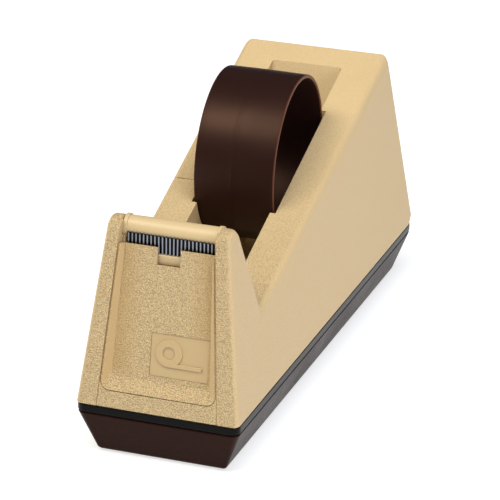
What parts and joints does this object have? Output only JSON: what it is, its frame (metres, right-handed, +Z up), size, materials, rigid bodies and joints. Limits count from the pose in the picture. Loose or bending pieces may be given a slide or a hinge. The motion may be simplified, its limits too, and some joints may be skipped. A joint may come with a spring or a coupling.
{
  "type": "tape dispenser",
  "caption": "Weighted desk dispenser for rolls of sticky tape, with a tape drum that spins in an open well and a fluted steel cutter under a rounded bar.",
  "frame": {"origin": "on the floor under the middle of the body", "axes": "+Z up, +Y towards the high rear end, so the cutter end faces -Y, and +X to the right seen from the cutter end"},
  "size_m": [0.0934, 0.24, 0.1284],
  "materials": {
    "tan_plastic": "fine grained, dull",
    "smooth_tan_plastic": "smooth, half gloss",
    "drum_plastic": "dark red-brown, half gloss",
    "base_plastic": "dark brown, fine grained",
    "black_plastic": "black, glossy",
    "steel": "bright",
    "ballast": "raw, dark",
    "rubber": "dull black"
  },
  "bodies": {
    "body": {"housing": "tan_plastic", "front_panel": "tan_plastic", "badge_plate": "smooth_tan_plastic", "tape_bar": "smooth_tan_plastic", "cutter_blade": "steel", "blade_holder": "smooth_tan_plastic", "blade_screw_left": "steel", "blade_screw_right": "steel", "panel_screw_left": "steel", "panel_screw_right": "steel", "rim_band": "black_plastic", "base_pan": "base_plastic", "ballast_plate_lower": "ballast", "ballast_plate_upper": "ballast", "ballast_screw_front": "steel", "ballast_screw_rear": "steel", "base_screw_front_left": "steel", "base_screw_front_right": "steel", "base_screw_rear_left": "steel", "base_screw_rear_right": "steel", "foot_front_left": "rubber", "foot_front_right": "rubber", "foot_rear_left": "rubber", "foot_rear_right": "rubber"},
    "drum": {"drum": "drum_plastic"}
  },
  "joints": [
    {"name": "drum_spin", "type": "hinge", "parent": "body", "child": "drum", "pos_m": [0, 0.0162, 0.0904], "axis": [1, 0, 0], "continuous": true}
  ]
}
